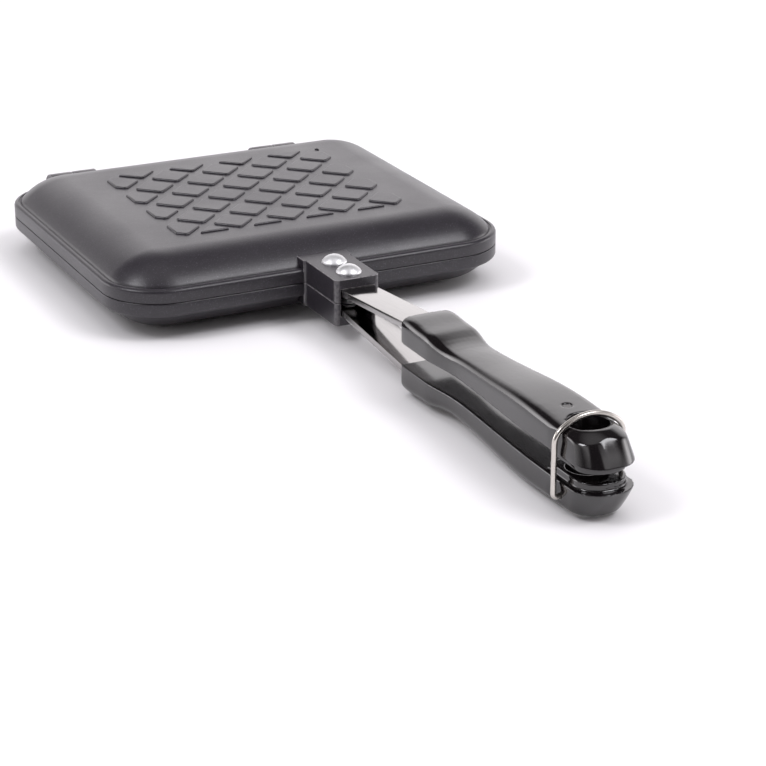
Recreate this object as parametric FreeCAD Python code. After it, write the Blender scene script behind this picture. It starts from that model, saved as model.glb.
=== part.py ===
"""Pie iron: two hinged cast pans with diamond tiles, riveted straps, moulded grips and a wire bail latch."""
import os
from math import cos, radians, sin, sqrt

import FreeCAD
import Part
from FreeCAD import Vector

# Driving dimensions, in millimetres. One half is built with the parting plane at z = 0 and its domed
# back towards +z, the plate centred on x = y = 0, the grips towards -y and the hinge towards +y.
PLATE_WIDTH = 150.0
PLATE_DEPTH = 133.8
CORNER_RADIUS = 21.4
FLANGE_THICKNESS = 5.0
FLANGE_EDGE_RADIUS = 1.4
LEDGE = 2.5
DOME_TOP = 13.4
SHOULDER_RADIUS = 23.0
WALL = 2.8
CAVITY_SIDE = 3.0
PARTING_GAP = 0.2

TILE_HEIGHT = 0.8
TILE_PITCH = 20.2
TILE_GROOVE = 2.9
TILE_NIP = 0.7
TILE_SPAN_LEFT = 43.4
TILE_SPAN_RIGHT = 45.2
TILE_SPAN_BACK = 39.2
TILE_SPAN_FRONT = 38.4
TILE_SHIFT_X = 0.4
TILE_SHIFT_Y = -0.4
TILE_ROOT = 0.5

HINGE_SETBACK = 9.5
KNUCKLE_RADIUS = 5.8
KNUCKLE_WIDTH = 9.2
KNUCKLE_GAP = 0.4
HINGE_OFFSET = 42.4
HINGE_PIN_RADIUS = 2.0
HINGE_PIN_PROUD = 0.6
PIN_END_BEVEL = 0.4

LUG_LENGTH = 24.2
LUG_HALF_WIDTH = 8.25
LUG_HEIGHT = 8.2
LUG_CORNER = 1.6
LUG_ROOT = 7.0

STRAP_HALF_WIDTH = 6.1
STRAP_THICKNESS = 2.3
STRAP_BASE = 2.5
STRAP_END_GAP = 0.9
STRAP_SIDE_GAP = 0.15
STRAP_RISE = 4.1
STRAP_LEVEL = 2.0
TANG_HALF_WIDTH = 4.0
TANG_SHOULDER = 9.2
TANG_TAPER = 6.0
TANG_PAST_PIN = 3.8

RIVET_SHANK_RADIUS = 2.2
RIVET_HEAD_RADIUS = 4.4
RIVET_HEAD_HEIGHT = 2.7
RIVET_TAIL_RADIUS = 3.0
RIVET_TAIL_HEIGHT = 1.5
RIVET_FRONT_EDGE = 7.0
RIVET_SPACING = 11.6

HANDLE_START = 75.0
HANDLE_LENGTH = 116.1
HANDLE_HALF_WIDTH = 9.8
HANDLE_FACE = 3.7
HANDLE_HEIGHT = 9.5
HANDLE_DOME = 0.6
TIP_CORNER = 8.6
TIP_LEAN = 6.6
TIP_TOP_HALF_WIDTH = 8.1
TIP_TOP_CORNER = 6.2
TIP_LENGTH = 22.0
HANG_HOLE_RADIUS = 6.2
HANG_HOLE_EDGE = 16.0
BOSS_HALF_WIDTH = 8.0
BOSS_CORNER = 7.0
BOSS_INSET = 2.7
BOSS_LENGTH = 21.0
BOSS_HEIGHT = 2.4
GRIP_PIN_RADIUS = 1.35
GRIP_PIN_TO_HOLE = 12.0
GRIP_PIN_RECESS = 0.3

WIRE_RADIUS = 0.85
BAIL_HALF_WIDTH = 11.2
BAIL_SETBACK = 0.5
BAIL_PIVOT_DROP = 8.7
BAIL_LEG_TOP = 7.5
BAIL_RISE = 7.5
BAIL_SHOULDER_RADIUS = 5.5
BAIL_BEND_RADIUS = 1.2
BAIL_TRUNNION = 2.5
WIRE_CLEARANCE = 0.25
SWING_CLEARANCE_TURN = 120.0

FIT_GAP = 0.05
OVERRUN = 5.0

# Stations along the grip, as shares of its length, half width and height above its inner face.
GRIP_STATION_SHARES = (
    # along, half width, shoulder, crown
    (0.000, 0.939, 0.586, 0.923),
    (0.020, 0.954, 0.593, 0.947),
    (0.065, 0.959, 0.579, 0.937),
    (0.125, 0.959, 0.544, 0.902),
    (0.175, 0.934, 0.483, 0.841),
    (0.220, 0.867, 0.400, 0.752),
    (0.265, 0.811, 0.384, 0.742),
    (0.325, 0.791, 0.419, 0.787),
    (0.410, 0.827, 0.459, 0.838),
    (0.525, 0.898, 0.532, 0.932),
    (0.635, 0.959, 0.595, 0.995),
    (0.740, 0.995, 0.597, 0.986),
    (0.830, 1.000, 0.581, 0.958),
    (0.915, 1.000, 0.566, 0.947),
    (1.040, 0.995, 0.558, 0.937),
)

# Places that follow from the sizes above.
PLATE_FRONT = -PLATE_DEPTH / 2
PLATE_BACK = PLATE_DEPTH / 2
HINGE_Y = PLATE_BACK + HINGE_SETBACK
LUG_FRONT = PLATE_FRONT - LUG_LENGTH
STRAP_BACK = PLATE_FRONT - STRAP_END_GAP
STRAP_TOP = STRAP_BASE + STRAP_THICKNESS
FRONT_RIVET_Y = LUG_FRONT + RIVET_FRONT_EDGE
REAR_RIVET_Y = FRONT_RIVET_Y + RIVET_SPACING
HANDLE_BACK = PLATE_FRONT - HANDLE_START
HANDLE_TIP = HANDLE_BACK - HANDLE_LENGTH
HANG_HOLE_Y = HANDLE_TIP + HANG_HOLE_EDGE
GRIP_PIN_Y = HANG_HOLE_Y + GRIP_PIN_TO_HOLE
BAIL_Y = HANG_HOLE_Y - BAIL_SETBACK
TANG_END = GRIP_PIN_Y - TANG_PAST_PIN
HALF_HEIGHT = DOME_TOP + TILE_HEIGHT
RIM_LEVEL = PARTING_GAP / 2
FOOTPRINT_MIDDLE = (HANDLE_TIP + HINGE_Y + KNUCKLE_RADIUS) / 2

UP = Vector(0, 0, 1)
ALONG_X = Vector(1, 0, 0)
ALONG_Y = Vector(0, 1, 0)
ORIGIN = Vector(0, 0, 0)


def block(x0, x1, y0, y1, z0, z1):
    """A box between two corners."""
    return Part.makeBox(x1 - x0, y1 - y0, z1 - z0, Vector(x0, y0, z0))


def rod_up(radius, x, y, z0, z1):
    """A cylinder along z."""
    return Part.makeCylinder(radius, z1 - z0, Vector(x, y, z0), UP)


def rod_across(radius, x0, x1, y, z):
    """A cylinder along x."""
    return Part.makeCylinder(radius, x1 - x0, Vector(x0, y, z), ALONG_X)


def joined(shapes):
    """One solid from several that meet."""
    return shapes[0].multiFuse(shapes[1:]).removeSplitter()


def face_of(edges):
    """A flat face inside a closed run of edges."""
    return Part.Face(Part.Wire(edges))


def polyline(points):
    """Straight edges through a run of points."""
    return [Part.makeLine(a, b) for a, b in zip(points, points[1:])]


def arc(start, middle, end):
    """A circular edge through three points."""
    return Part.Arc(start, middle, end).toShape()


def on_circle(centre, radius, degrees):
    """A point of a circle in the xz plane, turned from +z towards +x."""
    turn = radians(degrees)
    return Vector(centre.x + radius * sin(turn), centre.y, centre.z + radius * cos(turn))


def degrees_at(centre, point):
    """How far a point in the xz plane is turned from +z towards +x about a centre."""
    return UP.getAngle(point.sub(centre)) * 180 / radians(180)


def shoulder_arc(centre, radius, start):
    """The dome's quarter from a point on its flank up to its flat top."""
    middle = on_circle(centre, radius, degrees_at(centre, start) / 2)
    return arc(start, middle, on_circle(centre, radius, 0))


def pan_profile():
    """Half section of the casting's outside, with the corner's axis at x = 0."""
    foot = Vector(CORNER_RADIUS - LEDGE, 0, FLANGE_THICKNESS)
    rise = DOME_TOP - FLANGE_THICKNESS
    run = sqrt(SHOULDER_RADIUS ** 2 - (SHOULDER_RADIUS - rise) ** 2)
    centre = Vector(foot.x - run, 0, DOME_TOP - SHOULDER_RADIUS)
    edge_centre = Vector(CORNER_RADIUS - FLANGE_EDGE_RADIUS, 0, FLANGE_THICKNESS - FLANGE_EDGE_RADIUS)
    edge_start = on_circle(edge_centre, FLANGE_EDGE_RADIUS, 90)
    edge_end = on_circle(edge_centre, FLANGE_EDGE_RADIUS, 0)
    top = on_circle(centre, SHOULDER_RADIUS, 0)
    rim = Vector(0, 0, RIM_LEVEL)
    edges = polyline([rim, Vector(CORNER_RADIUS, 0, RIM_LEVEL), edge_start])
    edges.append(arc(edge_start, on_circle(edge_centre, FLANGE_EDGE_RADIUS, 45), edge_end))
    edges.append(Part.makeLine(edge_end, foot))
    edges.append(shoulder_arc(centre, SHOULDER_RADIUS, foot))
    edges += polyline([top, Vector(0, 0, DOME_TOP), rim])
    return face_of(edges), centre


def cavity_profile(centre):
    """Half section of the cooking cavity: the dome's shoulder set in by the wall."""
    radius = SHOULDER_RADIUS - WALL
    reach = sqrt(radius ** 2 - (CAVITY_SIDE - centre.z) ** 2)
    shoulder = Vector(centre.x + reach, 0, CAVITY_SIDE)
    roof = on_circle(centre, radius, 0)
    mouth = Vector(shoulder.x, 0, -OVERRUN)
    bottom = Vector(0, 0, -OVERRUN)
    edges = polyline([bottom, mouth, shoulder])
    edges.append(shoulder_arc(centre, radius, shoulder))
    edges += polyline([roof, Vector(0, 0, roof.z), bottom])
    return face_of(edges)


def round_plate(profile):
    """Carry a corner section round the plate: four turned corners, four straight sides and the core."""
    half_x = PLATE_WIDTH / 2 - CORNER_RADIUS
    half_y = PLATE_DEPTH / 2 - CORNER_RADIUS
    box = profile.BoundBox
    pieces = [block(-half_x, half_x, -half_y, half_y, box.ZMin, box.ZMax)]
    for quarter, (sx, sy) in enumerate(((1, 1), (-1, 1), (-1, -1), (1, -1))):
        section = profile.copy()
        section.rotate(ORIGIN, UP, 90 * quarter)
        corner = section.revolve(ORIGIN, UP, 90)
        corner.translate(Vector(sx * half_x, sy * half_y, 0))
        pieces.append(corner)
    for quarter in range(4):
        along_y = quarter % 2 == 0
        span, reach = (half_y, half_x) if along_y else (half_x, half_y)
        side = profile.extrude(Vector(0, 2 * span, 0))
        side.translate(Vector(reach, -span, 0))
        side.rotate(ORIGIN, UP, 90 * quarter)
        pieces.append(side)
    return joined(pieces)


def tile(centre_x, centre_y):
    """One raised diamond with nipped corners."""
    reach = TILE_PITCH / 2 - TILE_GROOVE / sqrt(2)
    nip = TILE_NIP
    corners = []
    for quarter in range(4):
        out = Vector(cos(radians(90 * quarter)), sin(radians(90 * quarter)), 0)
        side = Vector(-out.y, out.x, 0)
        corners.append(out * (reach - nip) - side * nip)
        corners.append(out * (reach - nip) + side * nip)
    corners.append(corners[0])
    outline = face_of(polyline(corners))
    outline.translate(Vector(centre_x, centre_y, DOME_TOP - TILE_ROOT))
    return outline.extrude(Vector(0, 0, TILE_ROOT + TILE_HEIGHT))


def tiles():
    """The diamonds, on a grid of half pitches, cut off square at the pattern's borders."""
    half = TILE_PITCH / 2
    places = [(i, j) for i in range(-4, 5) for j in range(-4, 5) if (i + j) % 2]
    places.append((5, 4))
    border = block(-TILE_SPAN_LEFT, TILE_SPAN_RIGHT, -TILE_SPAN_FRONT, TILE_SPAN_BACK,
                   DOME_TOP - TILE_ROOT, DOME_TOP + TILE_HEIGHT)
    return [tile(TILE_SHIFT_X + i * half, TILE_SHIFT_Y + j * half).common(border) for i, j in places]


def front_outline(half_back, half_front, y_back, y_front, corner, z):
    """A flat outline open to the back, with two rounded front corners."""
    bend = corner * (1 - cos(radians(45)))
    left = Vector(-half_front, y_front + corner, z)
    right = Vector(half_front, y_front + corner, z)
    left_front = Vector(corner - half_front, y_front, z)
    right_front = Vector(half_front - corner, y_front, z)
    edges = [Part.makeLine(Vector(-half_back, y_back, z), left)]
    edges.append(arc(left, Vector(bend - half_front, y_front + bend, z), left_front))
    edges.append(Part.makeLine(left_front, right_front))
    edges.append(arc(right_front, Vector(half_front - bend, y_front + bend, z), right))
    edges += polyline([right, Vector(half_back, y_back, z), Vector(-half_back, y_back, z)])
    return Part.Wire(edges)


def lug():
    """The channel in front of the plate that holds the strap."""
    outline = front_outline(LUG_HALF_WIDTH, LUG_HALF_WIDTH, PLATE_FRONT + LUG_ROOT, LUG_FRONT,
                            LUG_CORNER, RIM_LEVEL)
    return Part.Face(outline).extrude(Vector(0, 0, LUG_HEIGHT - RIM_LEVEL))


def lug_channel():
    """The space of the strap, open to the front and to the parting plane."""
    half = STRAP_HALF_WIDTH + STRAP_SIDE_GAP
    return block(-half, half, LUG_FRONT - OVERRUN, STRAP_BACK + STRAP_SIDE_GAP, -OVERRUN, STRAP_TOP)


def knuckles():
    """Two hinge knuckles, each beside its partner on the other half."""
    shift = (KNUCKLE_WIDTH + KNUCKLE_GAP) / 2
    pieces = []
    holes = []
    for middle in (HINGE_OFFSET + shift, shift - HINGE_OFFSET):
        x0 = middle - KNUCKLE_WIDTH / 2
        x1 = middle + KNUCKLE_WIDTH / 2
        barrel = rod_across(KNUCKLE_RADIUS, x0, x1, HINGE_Y, 0)
        arm = block(x0, x1, PLATE_BACK - CORNER_RADIUS / 2, HINGE_Y, RIM_LEVEL, FLANGE_THICKNESS)
        pieces += [barrel, arm]
        holes.append(rod_across(HINGE_PIN_RADIUS + FIT_GAP, x0 - OVERRUN, x1 + OVERRUN, HINGE_Y, 0))
    return pieces, holes


def pan():
    """One casting: flange, dome, tiles, lug, knuckles, cavity and holes."""
    profile, centre = pan_profile()
    knuckle_solids, pin_holes = knuckles()
    solid = joined([round_plate(profile), lug()] + knuckle_solids)
    cavity = round_plate(cavity_profile(centre))
    rivet_holes = [rod_up(RIVET_SHANK_RADIUS + FIT_GAP, 0, y, -OVERRUN, LUG_HEIGHT + OVERRUN)
                   for y in (FRONT_RIVET_Y, REAR_RIVET_Y)]
    solid = solid.cut([cavity, lug_channel()] + pin_holes + rivet_holes)
    return joined([solid] + tiles())


def hinge_pin(x):
    """A round pin through a pair of knuckles, with bevelled ends."""
    half = KNUCKLE_WIDTH + KNUCKLE_GAP / 2 + HINGE_PIN_PROUD
    pin = rod_across(HINGE_PIN_RADIUS, x - half, x + half, HINGE_Y, 0)
    ends = [edge for edge in pin.Edges if edge.BoundBox.XLength < PIN_END_BEVEL]
    return pin.makeChamfer(PIN_END_BEVEL, ends)


def strap_path(offset):
    """The strap's side view at a height over its inner face, from the pan to the tang's end."""
    handle_z = STRAP_BASE + STRAP_RISE
    return [Vector(0, STRAP_BACK, STRAP_BASE + offset),
            Vector(0, LUG_FRONT - STRAP_LEVEL, STRAP_BASE + offset),
            Vector(0, HANDLE_BACK + STRAP_LEVEL, handle_z + offset),
            Vector(0, TANG_END, handle_z + offset)]


def strap_solid(side_gap, end_gap):
    """The bent bar, wide outside the grip and narrow inside it, or the room it needs with gaps."""
    low = strap_path(-side_gap)
    high = strap_path(STRAP_THICKNESS + side_gap)
    low[3] = low[3] - Vector(0, end_gap, 0)
    high[3] = high[3] - Vector(0, end_gap, 0)
    side = face_of(polyline(low + high[::-1] + low[:1]))
    wide = STRAP_HALF_WIDTH + side_gap
    narrow = TANG_HALF_WIDTH + side_gap
    side.translate(Vector(-wide, 0, 0))
    bar = side.extrude(Vector(2 * wide, 0, 0))
    shoulder = HANDLE_BACK - TANG_SHOULDER - end_gap
    waist = shoulder - TANG_TAPER
    end = TANG_END - end_gap
    points = [Vector(-wide, STRAP_BACK, 0), Vector(-wide, shoulder, 0), Vector(-narrow, waist, 0),
              Vector(-narrow, end, 0), Vector(narrow, end, 0), Vector(narrow, waist, 0),
              Vector(wide, shoulder, 0), Vector(wide, STRAP_BACK, 0), Vector(-wide, STRAP_BACK, 0)]
    plan = face_of(polyline(points)).extrude(Vector(0, 0, HANDLE_FACE + HANDLE_HEIGHT))
    return bar.common(plan)


def strap():
    """The steel bar with its two rivet holes and the hole of the grip's pin."""
    bar = strap_solid(0, 0)
    holes = [rod_up(RIVET_SHANK_RADIUS + FIT_GAP, 0, y, -OVERRUN, LUG_HEIGHT + OVERRUN)
             for y in (FRONT_RIVET_Y, REAR_RIVET_Y)]
    holes.append(rod_up(GRIP_PIN_RADIUS + FIT_GAP, 0, GRIP_PIN_Y, 0, HANDLE_FACE + HANDLE_HEIGHT))
    return bar.cut(holes)


def cap(radius, height):
    """A spherical cap on z = 0."""
    ball = (radius ** 2 + height ** 2) / (2 * height)
    sphere = Part.makeSphere(ball, Vector(0, 0, height - ball))
    return sphere.common(block(-ball, ball, -ball, ball, 0, height))


def rivet(y):
    """A domed head outside, a shank through lug and strap, and a low domed tail inside."""
    head = cap(RIVET_HEAD_RADIUS, RIVET_HEAD_HEIGHT)
    head.translate(Vector(0, y, LUG_HEIGHT))
    tail = cap(RIVET_TAIL_RADIUS, RIVET_TAIL_HEIGHT)
    tail.rotate(ORIGIN, ALONG_X, 180)
    tail.translate(Vector(0, y, STRAP_BASE))
    shank = rod_up(RIVET_SHANK_RADIUS, 0, y, STRAP_BASE, LUG_HEIGHT)
    return joined([head, shank, tail])


def basket_arch(y, half, foot, rise, corner):
    """Edges of an arch across x, from left to right: two corner arcs and the flatter one between them."""
    side = half - corner
    crown = rise - corner
    large = (side ** 2 + rise ** 2 - corner ** 2) / (2 * crown)
    top_centre = Vector(0, y, foot + rise - large)
    left_centre = Vector(-side, y, foot)
    right_centre = Vector(side, y, foot)
    turn = degrees_at(top_centre, right_centre)
    half_turn = (turn + 90) / 2
    left_join = on_circle(left_centre, corner, -turn)
    right_join = on_circle(right_centre, corner, turn)
    return [arc(on_circle(left_centre, corner, -90), on_circle(left_centre, corner, -half_turn), left_join),
            arc(left_join, on_circle(top_centre, large, 0), right_join),
            arc(right_join, on_circle(right_centre, corner, half_turn), on_circle(right_centre, corner, 90))]


def grip_section(along, half_share, shoulder_share, crown_share):
    """A section of the grip: flat inner face, straight sides, rounded shoulders and a faintly domed back."""
    y = HANDLE_BACK - along * HANDLE_LENGTH
    half = HANDLE_HALF_WIDTH * half_share
    shoulder = HANDLE_FACE + HANDLE_HEIGHT * shoulder_share
    rise = HANDLE_HEIGHT * (crown_share - shoulder_share)
    left = Vector(-half, y, shoulder)
    right = Vector(half, y, shoulder)
    foot = polyline([right, Vector(half, y, HANDLE_FACE), Vector(-half, y, HANDLE_FACE), left])
    return Part.Wire(basket_arch(y, half, shoulder, rise, rise - HANDLE_DOME) + foot)


def tip_room():
    """All that lies inside the leaning sides and nose of the tip, and the whole grip behind it."""
    back = HANDLE_BACK + OVERRUN
    low_z = HANDLE_FACE
    high_z = HANDLE_FACE + HANDLE_HEIGHT
    tip_start = HANDLE_TIP + TIP_LENGTH
    low = front_outline(HANDLE_HALF_WIDTH, HANDLE_HALF_WIDTH, tip_start, HANDLE_TIP, TIP_CORNER, low_z)
    high = front_outline(HANDLE_HALF_WIDTH, TIP_TOP_HALF_WIDTH, tip_start, HANDLE_TIP + TIP_LEAN,
                         TIP_TOP_CORNER, high_z)
    nose = Part.makeLoft([low, high], True, True)
    wide = HANDLE_HALF_WIDTH + OVERRUN
    return nose.fuse(block(-wide, wide, tip_start, back, low_z, high_z + OVERRUN))


def boss():
    """The raised pad round the hang hole on the grip's inner face."""
    outline = front_outline(BOSS_HALF_WIDTH, BOSS_HALF_WIDTH, HANDLE_TIP + BOSS_INSET + BOSS_LENGTH,
                            HANDLE_TIP + BOSS_INSET, BOSS_CORNER, HANDLE_FACE - BOSS_HEIGHT)
    return Part.Face(outline).extrude(Vector(0, 0, BOSS_HEIGHT))


def grip_blank():
    """The moulded grip before the work that differs between the upper and the lower one."""
    sections = [grip_section(*shares) for shares in GRIP_STATION_SHARES]
    solid = Part.makeLoft(sections, True, False).common(tip_room())
    solid = joined([solid, boss()])
    top = HANDLE_FACE + HANDLE_HEIGHT + OVERRUN
    return solid.cut([strap_solid(STRAP_SIDE_GAP, STRAP_SIDE_GAP),
                      rod_up(HANG_HOLE_RADIUS, 0, HANG_HOLE_Y, -OVERRUN, top),
                      rod_up(GRIP_PIN_RADIUS + FIT_GAP, 0, GRIP_PIN_Y, 0, top)])


def crown_height(y):
    """The crown's height on the middle line, between two stations."""
    along = (HANDLE_BACK - y) / HANDLE_LENGTH
    for start, end in zip(GRIP_STATION_SHARES, GRIP_STATION_SHARES[1:]):
        if start[0] <= along <= end[0]:
            part = (along - start[0]) / (end[0] - start[0])
            return HANDLE_FACE + HANDLE_HEIGHT * (start[3] + part * (end[3] - start[3]))
    return HANDLE_FACE + HANDLE_HEIGHT


def grip_pin():
    """The cross pin of a grip, sunk at both ends."""
    top = crown_height(GRIP_PIN_Y) - GRIP_PIN_RECESS
    return rod_up(GRIP_PIN_RADIUS, 0, GRIP_PIN_Y, HANDLE_FACE + GRIP_PIN_RECESS, top)


def bail_arch(inset):
    """Edges of the bail's arch from its left leg to its right one, set in from the wire's middle."""
    return basket_arch(BAIL_Y, BAIL_HALF_WIDTH - inset, BAIL_LEG_TOP, BAIL_RISE - inset,
                       BAIL_SHOULDER_RADIUS - inset)


def bail_path():
    """The wire's middle line from one trunnion's end to the other's."""
    pivot = -BAIL_PIVOT_DROP
    bend = BAIL_BEND_RADIUS
    slack = bend * (1 - cos(radians(45)))
    half = BAIL_HALF_WIDTH
    end = HANDLE_HALF_WIDTH - BAIL_TRUNNION
    edges = []
    arch = bail_arch(0)
    for sign in (-1, 1):
        tip = Vector(sign * end, BAIL_Y, pivot)
        inner = Vector(sign * (half - bend), BAIL_Y, pivot)
        middle = Vector(sign * (half - slack), BAIL_Y, pivot + slack)
        outer = Vector(sign * half, BAIL_Y, pivot + bend)
        top = Vector(sign * half, BAIL_Y, BAIL_LEG_TOP)
        leg = [Part.makeLine(tip, inner), arc(inner, middle, outer), Part.makeLine(outer, top)]
        edges.append(leg)
    return edges[0] + arch + edges[1][::-1]


def bail():
    """The bent wire loop, swept round along its middle line."""
    path = Part.Wire(Part.__sortEdges__(bail_path()))
    start = Vector(HANDLE_HALF_WIDTH - BAIL_TRUNNION, BAIL_Y, -BAIL_PIVOT_DROP)
    if path.OrderedVertexes[0].X < 0:
        start.x = -start.x
    section = Part.Wire([Part.makeCircle(WIRE_RADIUS, start, ALONG_X)])
    return path.makePipeShell([section], True, False)


def swing_room():
    """What the bail's arch sweeps over the upper tip, with clearance, from its latched place forward."""
    inset = WIRE_RADIUS + WIRE_CLEARANCE
    arch = bail_arch(inset)
    left = arch[0].Vertexes[0].Point
    right = arch[2].Vertexes[1].Point
    high = BAIL_LEG_TOP + BAIL_RISE + OVERRUN
    outer = BAIL_HALF_WIDTH + OVERRUN
    edges = arch + polyline([right, Vector(outer, BAIL_Y, right.z), Vector(outer, BAIL_Y, high),
                             Vector(-outer, BAIL_Y, high), Vector(-outer, BAIL_Y, left.z), left])
    region = face_of(Part.__sortEdges__(edges))
    back = region.copy()
    back.translate(Vector(0, inset, 0))
    notch = back.extrude(Vector(0, -inset, 0))
    pivot = Vector(0, BAIL_Y, -BAIL_PIVOT_DROP)
    swept = region.revolve(pivot, ALONG_X, SWING_CLEARANCE_TURN)
    return notch.fuse(swept)


def upper_grip():
    """The upper grip, with room for the bail over its tip."""
    return grip_blank().cut(swing_room())


def lower_grip():
    """The lower grip, with a blind hole in each side for the bail's trunnions."""
    end = HANDLE_HALF_WIDTH - BAIL_TRUNNION - FIT_GAP
    outer = HANDLE_HALF_WIDTH + OVERRUN
    radius = WIRE_RADIUS + FIT_GAP
    holes = [rod_across(radius, end, outer, BAIL_Y, BAIL_PIVOT_DROP),
             rod_across(radius, -outer, -end, BAIL_Y, BAIL_PIVOT_DROP)]
    return grip_blank().cut(holes)


def placed(shape):
    """Move a shape from the parting plane's frame to the part's frame."""
    result = shape.Solids[0].copy()
    result.translate(Vector(0, -FOOTPRINT_MIDDLE, HALF_HEIGHT))
    return result


def turned_over(shape):
    """Place a shape of one half as the lower one, turned over about the y axis."""
    result = shape.copy()
    result.rotate(ORIGIN, ALONG_Y, 180)
    return placed(result)


def build():
    """Every piece by name, in its place."""
    casting = pan()
    bar = strap()
    front_rivet = rivet(FRONT_RIVET_Y)
    rear_rivet = rivet(REAR_RIVET_Y)
    pin = grip_pin()
    return {
        "upper_pan": placed(casting),
        "lower_pan": turned_over(casting),
        "hinge_pin_left": placed(hinge_pin(-HINGE_OFFSET)),
        "hinge_pin_right": placed(hinge_pin(HINGE_OFFSET)),
        "upper_strap": placed(bar),
        "lower_strap": turned_over(bar),
        "upper_front_rivet": placed(front_rivet),
        "upper_rear_rivet": placed(rear_rivet),
        "lower_front_rivet": turned_over(front_rivet),
        "lower_rear_rivet": turned_over(rear_rivet),
        "upper_handle": placed(upper_grip()),
        "lower_handle": turned_over(lower_grip()),
        "upper_handle_pin": placed(pin),
        "lower_handle_pin": turned_over(pin),
        "latch_bail": placed(bail()),
    }


def main():
    """Build, report and export every piece."""
    os.makedirs("parts", exist_ok=True)
    for name, shape in build().items():
        box = shape.BoundBox
        print(name, shape.ShapeType, len(shape.Solids), shape.isValid(), round(shape.Volume, 2),
              [round(v, 2) for v in (box.XMin, box.XMax, box.YMin, box.YMax, box.ZMin, box.ZMax)])
        shape.exportStep("parts/" + name + ".step")


if __name__ == "__main__":
    main()
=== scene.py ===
"""A pie iron's looks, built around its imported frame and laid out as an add-on."""
from math import acos, asin, cos, pi, radians, sin, sqrt

import bmesh
import bpy
from mathutils import Matrix, Vector


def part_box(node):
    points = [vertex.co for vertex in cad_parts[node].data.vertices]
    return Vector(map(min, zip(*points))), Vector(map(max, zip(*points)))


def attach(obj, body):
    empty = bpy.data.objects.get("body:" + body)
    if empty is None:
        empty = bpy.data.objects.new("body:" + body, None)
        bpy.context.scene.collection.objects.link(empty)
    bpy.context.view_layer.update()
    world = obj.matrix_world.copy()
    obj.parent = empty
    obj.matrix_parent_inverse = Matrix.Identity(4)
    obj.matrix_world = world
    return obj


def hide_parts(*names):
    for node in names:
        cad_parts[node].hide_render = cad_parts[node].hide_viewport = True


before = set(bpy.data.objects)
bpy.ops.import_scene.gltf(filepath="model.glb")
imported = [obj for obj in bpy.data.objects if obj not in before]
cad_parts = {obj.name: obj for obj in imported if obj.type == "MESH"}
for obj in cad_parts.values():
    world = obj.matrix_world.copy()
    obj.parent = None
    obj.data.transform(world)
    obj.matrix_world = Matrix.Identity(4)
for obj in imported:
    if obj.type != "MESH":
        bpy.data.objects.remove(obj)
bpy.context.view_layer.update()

bl_info = {
    "name": "Pie iron",
    "version": (1, 0, 0),
    "blender": (4, 5, 0),
    "location": "3D View > Sidebar > Pie iron",
    "description": "Builds a hinged sandwich pan's castings, straps, rivets, grips, bail and studio",
    "category": "Add Mesh",
}

MM = 0.001
SMALL = 1e-6
# A mark on round edges that lightens them: partly scuffed coating, partly painted highlights.
WEAR_AND_HIGHLIGHT = "edge_wear"
WEAR_AND_HIGHLIGHT_BEND = radians(30)
FLAT_AREA = 2e-5
TILE_FLAT_AREA = 3e-6
ACROSS, UP = Vector((1, 0, 0)), Vector((0, 0, 1))

# How much of the scuffed look and painted edge highlight each part of a casting takes on its edges.
SHELL_RUB_AND_HIGHLIGHT, LUG_RUB_AND_HIGHLIGHT, KNUCKLE_RUB_AND_HIGHLIGHT, TILE_RUB_AND_HIGHLIGHT = 0.3, 1, 1, 0.6

# The tiles' grid in half pitches, and the one small tile that stands past it.
TILE_REACH = 4
STRAY_TILE = (5, 4)

# A rivet's foot from its pole up to the seat, as shares of the head's radius and of the foot's depth.
FOOT_SHARES = ((0, 1), (0.45, 0.97), (0.68, 0.82), (0.5, 0.8), (0.5, 0))

# Fine scratches along an axis, or none, as the noise's scales along x, y and z.
ALONG_X, ALONG_Y, ALONG_Z, NO_GRAIN = (0.2, 1, 1), (1, 0.05, 1), (1, 1, 0.08), (1, 1, 1)

# The studio's sky round the compass, as (place, brightness) from the camera's side to the far side.
SKY_STOPS = ((0, 0), (0.04, 0), (0.07, 0.22), (0.5, 0.26), (0.675, 1.0), (0.77, 0.55), (0.85, 0.16),
             (0.95, 0.31), (1, 0.34))

# Fades of the sky by the compass, as (low, high, from_low, from_high).
FRONT_LIFT = (0.34, 0, -0.5, -0.1)
FAR_LIFT = (0, 0.32, 0.7, 1)
SIDE_SHARE = (0, 1, -0.6, 0)

# A fade by height like those above, and the heights between which two others run.
FRONT_SHARE = (0.05, 1, 0.3, 0.5)
BAND_TOP = (0.22, 0.45)
OVERHEAD_RIM = (0.85, 0.97)

# Lights as name, place, target, size in metres, the setting with the power, and if reflections show them.
LIGHTS = (
    ("left_box", (-2.64, 0.08, 3.0), (0, -0.05, 0), (1.3, 1.3), "left_power", True),
    ("right_box", (1.64, -1.8, 3.1), (0, -0.05, 0), (1.7, 1.5), "right_power", True),
    ("ceiling", (0, 0, 3.2), (0, 0, 0), (5, 5), "ceiling_power", False),
)

UPPER_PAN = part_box("upper_pan")
LOWER_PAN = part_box("lower_pan")
PARTING_Z = (UPPER_PAN[1].z + LOWER_PAN[0].z) / 2
PLATE_WIDTH = UPPER_PAN[1].x - UPPER_PAN[0].x


def length(name, default, description):
    """A length property in Blender's own unit, with its default given in millimetres."""
    return bpy.props.FloatProperty(name=name, description=description, default=default * MM,
                                   unit="LENGTH", precision=5)


def share(name, default, description):
    """A plain number from nought to one."""
    return bpy.props.FloatProperty(name=name, description=description, default=default,
                                   min=0, max=1, subtype="FACTOR")


def millimetres(name, default, description):
    """A plain number of millimetres, for what the camera gives in them."""
    return bpy.props.FloatProperty(name=name, description=description, default=default, min=1)


def power(name, default, description):
    """A light's strength."""
    return bpy.props.FloatProperty(name=name, description=description, default=default, min=0)


def tilt(name, default, description):
    """An angle property, with its default given in degrees."""
    return bpy.props.FloatProperty(name=name, description=description, default=radians(default),
                                   subtype="ANGLE")


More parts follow.
